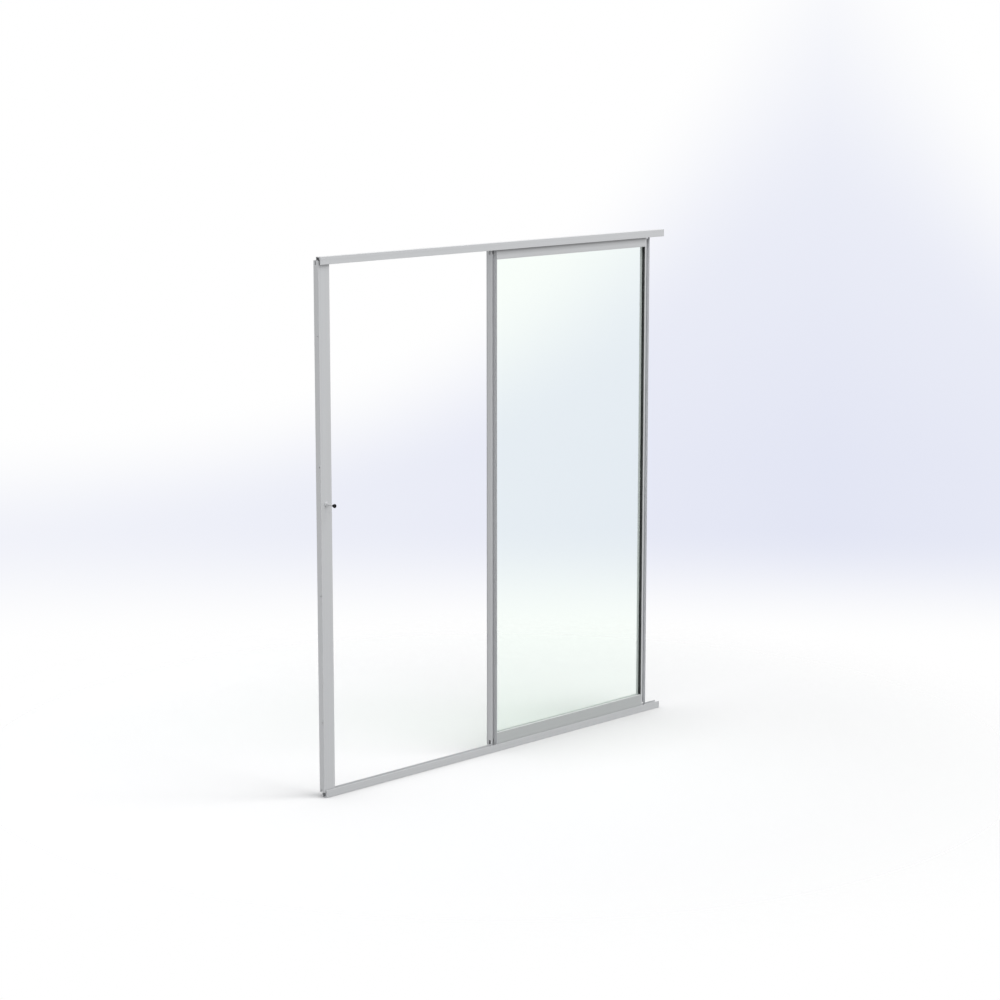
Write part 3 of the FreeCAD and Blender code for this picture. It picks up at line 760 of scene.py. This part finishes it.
# Boxes of painted light and shade inside each stile's channel, as distances across X and Y from the stile's low
# corner
PAINTED_CHANNEL_BOXES = {
    "leading": (((10.0, 0.6), (26.0, 31.9)), ((26.1, 0.6), (27.5, 31.9)), ((19.0, 8.0), (26.0, 8.9))),
    "trailing": (((9.0, 0.6), (26.0, 31.9)), ((26.1, 0.6), (27.5, 31.9)), ((26.1, 11.0), (27.5, 31.9))),
}


def channel_painted_light(end_name, tones):
    """Low corner, high corner, tone and fade of each box of painted light and shade in a stile's channel."""
    low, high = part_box(f"{end_name}_stile")
    foot = Vector((low.x, low.y, low.z - 1.0 * MM))
    head = Vector((low.x, low.y, high.z + 1.0 * MM))
    return [
        (foot + Vector((*near, 0.0)) * MM, head + Vector((*far, 0.0)) * MM, tone, PATCH_FADE)
        for (near, far), tone in zip(PAINTED_CHANNEL_BOXES[end_name], tones)
    ]


def slot_painted_shade(finishes):
    """Painted shade: the dark foot of the leading stile's channel, seen through the slot over the rail."""
    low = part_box("leading_stile")[0]
    rail_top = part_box("sill_track")[1].z
    near = Vector((2.0, 21.5, -1.0)) * MM
    far = Vector((17.6, 23.0, 16.5)) * MM
    return low + near, Vector((low.x, low.y, rail_top)) + far, finishes.slot_shade_tone, PATCH_FADE


def under_track_painted_shadow(finishes):
    """Painted shadow of the head track: the top rail's deeper tone just under it, fading out downwards."""
    low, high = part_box("top_rail")
    fade = finishes.under_track_shade_fade
    track_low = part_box("head_track")[0].z
    around = Vector((fade, fade, 0.0))
    foot = Vector((low.x, low.y, track_low - fade)) - around
    head = Vector((high.x, high.y, high.z + fade)) + around
    return foot, head, finishes.under_track_shade_tone, fade


def build_finishes(finishes):
    """Every finish on the door, built once."""
    colour = finishes.aluminium
    FINISHES["track"] = satin_aluminium("satin_aluminium_along", finishes, ALONG_TRACK, colour)
    # Painted shade: the bottom rail's colour is darker to stand in for the shade near the floor.
    FINISHES["bottom_rail"] = satin_aluminium("satin_bottom_rail_painted_shade", finishes, ALONG_TRACK, finishes.bottom_rail)
    # Painted shade: the whole top rail is a little darker, as if shaded by the head track.
    top_rail_shaded_colour = shade(colour, finishes.top_rail_shade_tone)
    # Painted shadow of the head track on the top rail.
    shaded = under_track_painted_shadow(finishes)
    FINISHES["top_rail"] = satin_aluminium("satin_top_rail_painted_shade", finishes, ALONG_TRACK, top_rail_shaded_colour, [shaded])
    FINISHES["upright"] = satin_aluminium("satin_aluminium_upright", finishes, UPRIGHT, colour)
    # Painted light and shade in the stiles' channels, and painted shade behind the leading stile's lower slot.
    patches = [*channel_painted_light("leading", finishes.leading_painted_light), slot_painted_shade(finishes)]
    FINISHES["leading"] = satin_aluminium("satin_leading_stile_painted_light", finishes, UPRIGHT, colour, patches)
    patches = channel_painted_light("trailing", finishes.trailing_painted_light)
    FINISHES["trailing"] = satin_aluminium("satin_trailing_stile_painted_light", finishes, UPRIGHT, colour, patches)
    FINISHES["rose"] = turned_metal("turned_aluminium", finishes.aluminium, 0.35)
    FINISHES["rod"] = turned_metal("turned_rod", finishes.rod, 0.4)
    FINISHES["glass"] = float_glass("float_glass", finishes)
    FINISHES["rubber"] = matt_moulding("black_rubber", finishes.rubber, 0.62, 900.0, 0.05 * MM)
    FINISHES["buffer"] = matt_moulding("buffer_rubber", finishes.buffer, 0.7, 900.0, 0.05 * MM)
    FINISHES["buffer"].node_tree.nodes["Principled BSDF"].inputs["Specular IOR Level"].default_value = 0.2
    FINISHES["nylon"] = matt_moulding("dark_nylon", finishes.nylon, 0.48, 1400.0, 0.02 * MM)
    FINISHES["zinc"] = zinc_plate("zinc_plate", finishes)
    FINISHES["pile"] = brush_pile("brush_pile", finishes)


def finish(finish_name, *node_names):
    """Give a finish to CAD nodes."""
    for node_name in node_names:
        mesh = NODES[node_name].data
        mesh.materials.clear()
        mesh.materials.append(FINISHES[finish_name])


# Modelling tools


def clear_selection():
    """Nothing selected, and object mode."""
    if bpy.context.mode != "OBJECT":
        bpy.ops.object.mode_set(mode="OBJECT")
    bpy.ops.object.select_all(action="DESELECT")


def use_only(piece):
    """Select and activate one object."""
    clear_selection()
    piece.select_set(True)
    bpy.context.view_layer.objects.active = piece


def apply_modifiers(piece):
    """Apply the modifiers in order."""
    use_only(piece)
    for modifier in list(piece.modifiers):
        bpy.ops.object.modifier_apply(modifier=modifier.name)


def settle(piece):
    """Place, turn and scale go into the mesh."""
    use_only(piece)
    bpy.ops.object.transform_apply(location=True, rotation=True, scale=True)


def finish_piece(piece, finish_name, body):
    """Material and body of a modelled piece."""
    piece.data.materials.clear()
    piece.data.materials.append(FINISHES[finish_name])
    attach(piece, body)


def select_faces(piece, wanted):
    """In edit mode, select only the faces that wanted(face) picks."""
    bpy.ops.mesh.select_mode(type="FACE")
    bpy.ops.mesh.select_all(action="DESELECT")
    bpy.ops.object.mode_set(mode="OBJECT")
    for face in piece.data.polygons:
        face.select = wanted(face)
    bpy.ops.object.mode_set(mode="EDIT")


class PATIO_OT_dress_frame(bpy.types.Operator):
    """Finish the tracks, the jamb and their brackets and stops."""

    bl_idname = "patio_door.dress_frame"
    bl_label = "Finish the frame"

    def execute(self, context):
        finish("track", "sill_track", "head_track")
        finish("upright", "closing_jamb")
        finish("zinc", "jamb_foot_bracket", "jamb_head_bracket")
        finish("nylon", "sill_end_stop", "head_end_stop")
        return {"FINISHED"}


class PATIO_OT_dress_stop_pin(bpy.types.Operator):
    """Finish the stop pin and its rubber buffer."""

    bl_idname = "patio_door.dress_stop_pin"
    bl_label = "Finish the stop pin"

    def execute(self, context):
        finish("rose", "stop_pin_rose")
        finish("rod", "stop_pin_rod")
        finish("buffer", "stop_pin_buffer")
        return {"FINISHED"}


class PATIO_OT_dress_panel(bpy.types.Operator):
    """Finish the stiles, rails, glass and gaskets."""

    bl_idname = "patio_door.dress_panel"
    bl_label = "Finish the panel"

    def execute(self, context):
        finish("leading", "leading_stile")
        finish("trailing", "trailing_stile")
        finish("top_rail", "top_rail")
        finish("bottom_rail", "bottom_rail")
        finish("glass", "glass_pane")
        finish("rubber", "leading_gasket", "trailing_gasket", "top_gasket", "bottom_gasket")
        return {"FINISHED"}


class PATIO_OT_dress_running_gear(bpy.types.Operator):
    """Finish the rollers and the top guides."""

    bl_idname = "patio_door.dress_running_gear"
    bl_label = "Finish the rollers and guides"

    def execute(self, context):
        for end_name in ("leading", "trailing"):
            finish("nylon", f"{end_name}_roller_housing", f"{end_name}_roller_wheel", f"{end_name}_top_guide")
            finish("zinc", f"{end_name}_roller_axle")
        return {"FINISHED"}


class PATIO_OT_make_pile_seal(bpy.types.Operator):
    """Model the brush seal: a backing strip with a fuzzy pile standing on it."""

    bl_idname = "patio_door.make_pile_seal"
    bl_label = "Model the pile seal"

    def execute(self, context):
        details = context.scene.patio_door_details
        low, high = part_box("jamb_pile_seal")
        middle = (low + high) / 2
        backing = make_backing(low, high, details)
        pile = make_pile(low, high, middle, details)
        use_only(backing)
        pile.select_set(True)
        bpy.ops.object.join()
        backing.name = "pile_seal"
        settle(backing)
        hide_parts("jamb_pile_seal")
        finish_piece(backing, "pile", "frame")
        return {"FINISHED"}


def make_backing(low, high, details):
    """The strip that slides into the jamb's channel, with softened edges."""
    clear_selection()
    size = Vector((details.pile_backing, high.y - low.y, high.z - low.z))
    centre = Vector((low.x + size.x / 2, (low.y + high.y) / 2, (low.z + high.z) / 2))
    bpy.ops.mesh.primitive_cube_add(size=1.0, location=centre)
    backing = bpy.context.object
    bpy.ops.object.mode_set(mode="EDIT")
    bpy.ops.transform.resize(value=size)
    bpy.ops.mesh.bevel(offset=0.2 * MM, segments=2)
    bpy.ops.object.mode_set(mode="OBJECT")
    return backing


def make_pile(low, high, middle, details):
    """The pile: a fine grid raised off the backing, with its face made uneven."""
    clear_selection()
    length = high.z - low.z
    foot = low.x + details.pile_backing
    bpy.ops.mesh.primitive_grid_add(
        x_subdivisions=8,
        y_subdivisions=details.pile_rows,
        size=1.0,
        location=(foot, middle.y, middle.z),
        rotation=(math.pi / 2, 0.0, math.pi / 2),
    )
    pile = bpy.context.object
    pile.scale = (details.pile_width, length, 1.0)
    bpy.ops.object.transform_apply(location=True, rotation=True, scale=True)
    bpy.ops.object.mode_set(mode="EDIT")
    bpy.ops.mesh.select_all(action="SELECT")
    reach = high.x - foot - details.pile_fuzz / 2
    bpy.ops.mesh.extrude_region_move(TRANSFORM_OT_translate={"value": (reach, 0.0, 0.0)})
    bpy.ops.object.mode_set(mode="OBJECT")
    face = pile.vertex_groups.new(name="face")
    face.add([point.index for point in pile.data.vertices if point.co.x > foot + reach / 2], 1.0, "REPLACE")
    tufts = bpy.data.textures.new("pile_tufts", "CLOUDS")
    tufts.noise_scale = 2.2 * MM
    tufts.noise_depth = 1
    uneven = pile.modifiers.new("uneven", "DISPLACE")
    uneven.texture = tufts
    uneven.texture_coords = "LOCAL"
    uneven.direction = "X"
    uneven.strength = details.pile_fuzz
    uneven.vertex_group = "face"
    apply_modifiers(pile)
    return pile


def make_pan_head(details):
    """One pan head with a cross recess, standing on the origin along +Z."""
    clear_selection()
    radius, height = details.screw_head_radius, details.screw_head_height
    bpy.ops.mesh.primitive_cylinder_add(vertices=40, radius=radius, depth=height, location=(0.0, 0.0, height / 2))
    head = bpy.context.object
    bpy.ops.object.transform_apply(location=True, rotation=False, scale=False)
    bpy.ops.object.mode_set(mode="EDIT")
    select_faces(head, lambda face: face.normal.z > 0.9)
    bpy.ops.mesh.bevel(offset=0.42 * height, segments=5, profile=0.6)
    bpy.ops.object.mode_set(mode="OBJECT")
    for turn in (0.0, math.pi / 2):
        clear_selection()
        bpy.ops.mesh.primitive_cube_add(size=1.0, location=(0.0, 0.0, height), rotation=(0.0, 0.0, turn))
        blade = bpy.context.object
        blade.scale = (1.15 * radius, 0.26 * radius, 1.1 * height)
        bpy.ops.object.transform_apply(location=True, rotation=True, scale=True)
        cut = head.modifiers.new("recess", "BOOLEAN")
        cut.operation = "DIFFERENCE"
        cut.solver = "EXACT"
        cut.object = blade
        apply_modifiers(head)
        bpy.data.objects.remove(blade)
    use_only(head)
    bpy.ops.object.shade_smooth_by_angle(angle=math.radians(35))
    return head


def place_screws(head, name, places, axis, body):
    """Copies of the pan head at places, standing along axis, joined as one piece."""
    copies = []
    for number, place in enumerate(places):
        copy = head.copy()
        copy.data = head.data.copy()
        bpy.context.scene.collection.objects.link(copy)
        twist = Matrix.Rotation(0.7 + 1.3 * number, 4, "Z")
        turn = Vector((0.0, 0.0, 1.0)).rotation_difference(axis).to_matrix().to_4x4()
        copy.matrix_world = Matrix.Translation(place) @ turn @ twist
        copies.append(copy)
    clear_selection()
    for copy in copies:
        copy.select_set(True)
    bpy.context.view_layer.objects.active = copies[0]
    bpy.ops.object.transform_apply(location=True, rotation=True, scale=True)
    if len(copies) > 1:
        bpy.ops.object.join()
    screws = bpy.context.object
    screws.name = name
    finish_piece(screws, "zinc", body)


class PATIO_OT_make_screws(bpy.types.Operator):
    """Model the pan-head screws of the stile, the brackets and the end stops."""

    bl_idname = "patio_door.make_screws"
    bl_label = "Model the screws"

    def execute(self, context):
        details = context.scene.patio_door_details
        head = make_pan_head(details)
        stile_low, stile_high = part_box("trailing_stile")
        lower_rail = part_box("bottom_rail")
        upper_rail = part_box("top_rail")
        front_line = stile_low.y + 15.5 * MM
        back_line = stile_high.y - 5.5 * MM
        heights = (lower_rail[1].z - 9.5 * MM, upper_rail[0].z + 9.5 * MM)
        stile_places = [Vector((stile_high.x, line, z)) for z in heights for line in (front_line, back_line)]
        place_screws(head, "stile_screws", stile_places, Vector((1.0, 0.0, 0.0)), "sliding_panel")

        foot_low, foot_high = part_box("jamb_foot_bracket")
        foot_top = foot_low.z + 3.0 * MM
        foot_line = foot_high.y - 4.4 * MM
        foot_places = [
            Vector(((foot_low.x + foot_high.x) / 2 + step, foot_line, foot_top)) for step in (-10 * MM, 10 * MM)
        ]
        place_screws(head, "foot_bracket_screws", foot_places, Vector((0.0, 0.0, 1.0)), "frame")
        head_low, head_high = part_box("jamb_head_bracket")
        head_places = [Vector((place.x, place.y, head_high.z - 3.0 * MM)) for place in foot_places]
        place_screws(head, "head_bracket_screws", head_places, Vector((0.0, 0.0, -1.0)), "frame")

        stop_low, stop_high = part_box("sill_end_stop")
        centre = (stop_low + stop_high) / 2
        place_screws(
            head, "sill_stop_screw", [Vector((centre.x, centre.y, stop_high.z))], Vector((0.0, 0.0, 1.0)), "frame"
        )
        stop_low, stop_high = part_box("head_end_stop")
        centre = (stop_low + stop_high) / 2
        place_screws(
            head, "head_stop_screw", [Vector((centre.x, centre.y, stop_low.z))], Vector((0.0, 0.0, -1.0)), "frame"
        )
        bpy.data.objects.remove(head)
        return {"FINISHED"}


# Stage


def add_camera(stage):
    """The photograph's camera."""
    data = bpy.data.cameras.new("photo_camera")
    data.lens = stage.camera_lens
    data.sensor_width = 36.0
    data.clip_end = 200.0
    camera = bpy.data.objects.new("photo_camera", data)
    camera.location = stage.camera_place
    camera.rotation_euler = stage.camera_turn
    bpy.context.scene.collection.objects.link(camera)
    bpy.context.scene.camera = camera


def add_lamp(name, power, size, place, target):
    """Square area lamp at place, facing target."""
    data = bpy.data.lights.new(name, "AREA")
    data.shape = "SQUARE"
    data.size = size
    data.energy = power
    lamp = bpy.data.objects.new(name, data)
    lamp.location = place
    lamp.rotation_euler = (target - Vector(place)).to_track_quat("-Z", "Y").to_euler()
    bpy.context.scene.collection.objects.link(lamp)
    return lamp


def seen_directly(tree):
    """One for rays from the camera, from gloss or through glass, and zero for the rest."""
    path = tree.nodes.new("ShaderNodeLightPath")
    gloss = add_math(tree, "MAXIMUM", path.outputs["Is Camera Ray"], path.outputs["Is Glossy Ray"])
    return add_math(tree, "MAXIMUM", gloss, path.outputs["Is Transmission Ray"])


HAZE = (0.765, 0.788, 0.905)


def dot_with(tree, vector, fixed):
    """Dot product of a vector socket with a fixed vector; returns its output socket."""
    node = tree.nodes.new("ShaderNodeVectorMath")
    node.operation = "DOT_PRODUCT"
    tree.links.new(vector, node.inputs[0])
    node.inputs[1].default_value = fixed
    return node.outputs["Value"]


def backdrop_haze(tree, direction, height):
    """How hazy the backdrop is by direction: a low bank that rises into a column at the right."""
    to_right = dot_with(tree, direction, (0.7009, -0.7133, 0.0))
    ahead = add_range(tree, dot_with(tree, direction, (0.7133, 0.7009, 0.0)), 0.0, 0.2)
    left_of_column = add_math(tree, "SUBTRACT", 0.122, to_right)
    right_of_column = add_math(tree, "SUBTRACT", to_right, 0.122)
    aside = add_math(tree, "MAXIMUM", left_of_column, right_of_column)
    spread = add_math(tree, "POWER", add_math(tree, "DIVIDE", aside, 0.1), 1.3)
    column = add_math(tree, "POWER", math.e, add_math(tree, "MULTIPLY", spread, -1.0))
    top = add_range(tree, column, 0.0, 1.0, -0.17, 0.0)
    softness = add_range(tree, column, 0.0, 1.0, 0.02, 0.065)
    above = add_math(tree, "DIVIDE", add_math(tree, "SUBTRACT", height, top), softness)
    upper = add_range(tree, above, 1.0, -1.0, smooth=True)
    lower = add_range(tree, height, -0.226, -0.184, smooth=True)
    deep = add_range(tree, height, -0.02, -0.16, 0.64, 1.0)
    thin = add_range(tree, aside, 0.0, 0.3, 1.0, 0.5)
    edge = add_math(tree, "MULTIPLY", ahead, add_range(tree, aside, 0.32, 0.5, 1.0, 0.0))
    bank = add_math(tree, "MULTIPLY", upper, lower)
    shape = add_math(tree, "MULTIPLY", add_math(tree, "MULTIPLY", thin, edge), deep)
    return add_math(tree, "MULTIPLY", bank, shape, clamp=True)


def set_backdrop(stage):
    """Pale hazy backdrop by direction, and a soft sky that is brighter overhead."""
    world = bpy.data.worlds.new("studio")
    bpy.context.scene.world = world
    world.use_nodes = True
    tree = world.node_tree
    tree.nodes.clear()
    coordinates = tree.nodes.new("ShaderNodeTexCoord")
    direction = coordinates.outputs["Generated"]
    split = add_node(tree, "ShaderNodeSeparateXYZ", [("Vector", direction)])
    height = split.outputs["Z"]
    colour = mix_colour(tree, backdrop_haze(tree, direction, height), (1.0, 1.0, 1.0), HAZE)
    seen = add_node(tree, "ShaderNodeBackground", [("Color", colour)], Strength=1.0)
    sky = add_range(tree, height, 0.0, 1.0, stage.horizon_level, stage.sky_level)
    above = add_range(tree, height, -0.03, 0.03, stage.ground_level, 1.0)
    front = add_range(tree, split.outputs["Y"], 1.0, -1.0, 1.0 - stage.front_share, 1.0 + stage.front_share)
    left = add_range(tree, split.outputs["X"], 1.0, -1.0, -stage.left_share, stage.left_share)
    level = add_math(tree, "MULTIPLY", add_math(tree, "MULTIPLY", sky, above), add_math(tree, "ADD", front, left))
    fill = add_node(tree, "ShaderNodeBackground", [("Strength", level)])
    fill.inputs["Color"].default_value = (0.985, 0.99, 1.0, 1.0)
    choose = tree.nodes.new("ShaderNodeMixShader")
    tree.links.new(seen_directly(tree), choose.inputs["Fac"])
    tree.links.new(fill.outputs["Background"], choose.inputs[1])
    tree.links.new(seen.outputs["Background"], choose.inputs[2])
    output = tree.nodes.new("ShaderNodeOutputWorld")
    tree.links.new(choose.outputs["Shader"], output.inputs["Surface"])


def add_floor(stage):
    """Pale round floor with painted shade at the door's foot, which fades into the backdrop at its rim."""
    clear_selection()
    bpy.ops.mesh.primitive_circle_add(
        vertices=96, radius=stage.floor_radius, fill_type="NGON", location=(0.0, 0.0, -0.3 * MM)
    )
    floor = bpy.context.object
    floor.name = "studio_floor"
    material, tree, shader = start_material("studio_floor")
    # Painted shade: ambient occlusion darkens the floor's colour around the door's foot.
    contact = add_node(tree, "ShaderNodeAmbientOcclusion", Distance=stage.contact_reach)
    contact.samples = 16
    open_share = add_range(tree, contact.outputs["AO"], 0.0, 1.0, 1.0 - stage.contact_depth, 1.0)
    coordinates = tree.nodes.new("ShaderNodeTexCoord")
    slope = dot_with(tree, coordinates.outputs["Object"], (*stage.floor_slope, 0.0))
    share = add_math(tree, "MULTIPLY", open_share, add_math(tree, "ADD", slope, 1.0))
    shaded = mix_colour(tree, share, (0.0,) * 3, (stage.floor_tone,) * 3)
    colour = mix_colour(tree, seen_directly(tree), (stage.floor_bounce,) * 3, shaded)
    tree.links.new(colour, shader.inputs["Base Color"])
    shader.inputs["Roughness"].default_value = 1.0
    shader.inputs["Specular IOR Level"].default_value = 0.0
    distance = tree.nodes.new("ShaderNodeVectorMath")
    distance.operation = "LENGTH"
    tree.links.new(coordinates.outputs["Object"], distance.inputs[0])
    gone = add_range(
        tree, distance.outputs["Value"], 0.5 * stage.floor_radius, 0.98 * stage.floor_radius, smooth=True
    )
    clear = tree.nodes.new("ShaderNodeBsdfTransparent")
    fade = tree.nodes.new("ShaderNodeMixShader")
    tree.links.new(gone, fade.inputs["Fac"])
    tree.links.new(shader.outputs["BSDF"], fade.inputs[1])
    tree.links.new(clear.outputs["BSDF"], fade.inputs[2])
    output = next(node for node in tree.nodes if node.type == "OUTPUT_MATERIAL")
    tree.links.new(fade.outputs["Shader"], output.inputs["Surface"])
    floor.data.materials.append(material)


class PATIO_OT_set_stage(bpy.types.Operator):
    """Set the camera, floor, backdrop and lamps."""

    bl_idname = "patio_door.set_stage"
    bl_label = "Set the stage"

    def execute(self, context):
        stage = context.scene.patio_door_stage
        add_camera(stage)
        set_backdrop(stage)
        add_floor(stage)
        middle = (CAD_LOW + CAD_HIGH) / 2
        add_lamp("key_lamp", stage.key_power, 6.0, (1.95, -5.45, 12.7), middle)
        add_lamp("side_lamp", stage.side_power, 2.6, (4.9, -4.9, 6.85), middle)
        context.scene.view_settings.view_transform = "Standard"
        return {"FINISHED"}


class PATIO_PT_door(bpy.types.Panel):
    """Sizes, colours and steps of the door's looks."""

    bl_idname = "PATIO_PT_door"
    bl_label = "Patio Door"
    bl_space_type = "VIEW_3D"
    bl_region_type = "UI"
    bl_category = "Patio Door"

    def draw(self, context):
        layout = self.layout
        for step in STEPS:
            layout.operator(step.bl_idname)
        for group in (
            context.scene.patio_door_finishes,
            context.scene.patio_door_details,
            context.scene.patio_door_stage,
        ):
            box = layout.box()
            for name in group.__annotations__:
                box.prop(group, name)


STEPS = (
    PATIO_OT_set_stage,
    PATIO_OT_dress_frame,
    PATIO_OT_dress_stop_pin,
    PATIO_OT_dress_panel,
    PATIO_OT_dress_running_gear,
    PATIO_OT_make_pile_seal,
    PATIO_OT_make_screws,
)
CLASSES = (PATIO_PG_finishes, PATIO_PG_details, PATIO_PG_stage, *STEPS, PATIO_PT_door)


def register():
    for cls in CLASSES:
        bpy.utils.register_class(cls)
    bpy.types.Scene.patio_door_finishes = PointerProperty(type=PATIO_PG_finishes)
    bpy.types.Scene.patio_door_details = PointerProperty(type=PATIO_PG_details)
    bpy.types.Scene.patio_door_stage = PointerProperty(type=PATIO_PG_stage)


def unregister():
    del bpy.types.Scene.patio_door_stage
    del bpy.types.Scene.patio_door_details
    del bpy.types.Scene.patio_door_finishes
    for cls in reversed(CLASSES):
        bpy.utils.unregister_class(cls)


def main():
    """Run every step in order."""
    register()
    build_effects()
    build_finishes(bpy.context.scene.patio_door_finishes)
    bpy.ops.patio_door.set_stage()
    bpy.ops.patio_door.dress_frame()
    bpy.ops.patio_door.dress_stop_pin()
    bpy.ops.patio_door.dress_panel()
    bpy.ops.patio_door.dress_running_gear()
    bpy.ops.patio_door.make_pile_seal()
    bpy.ops.patio_door.make_screws()


if __name__ == "__main__":
    main()
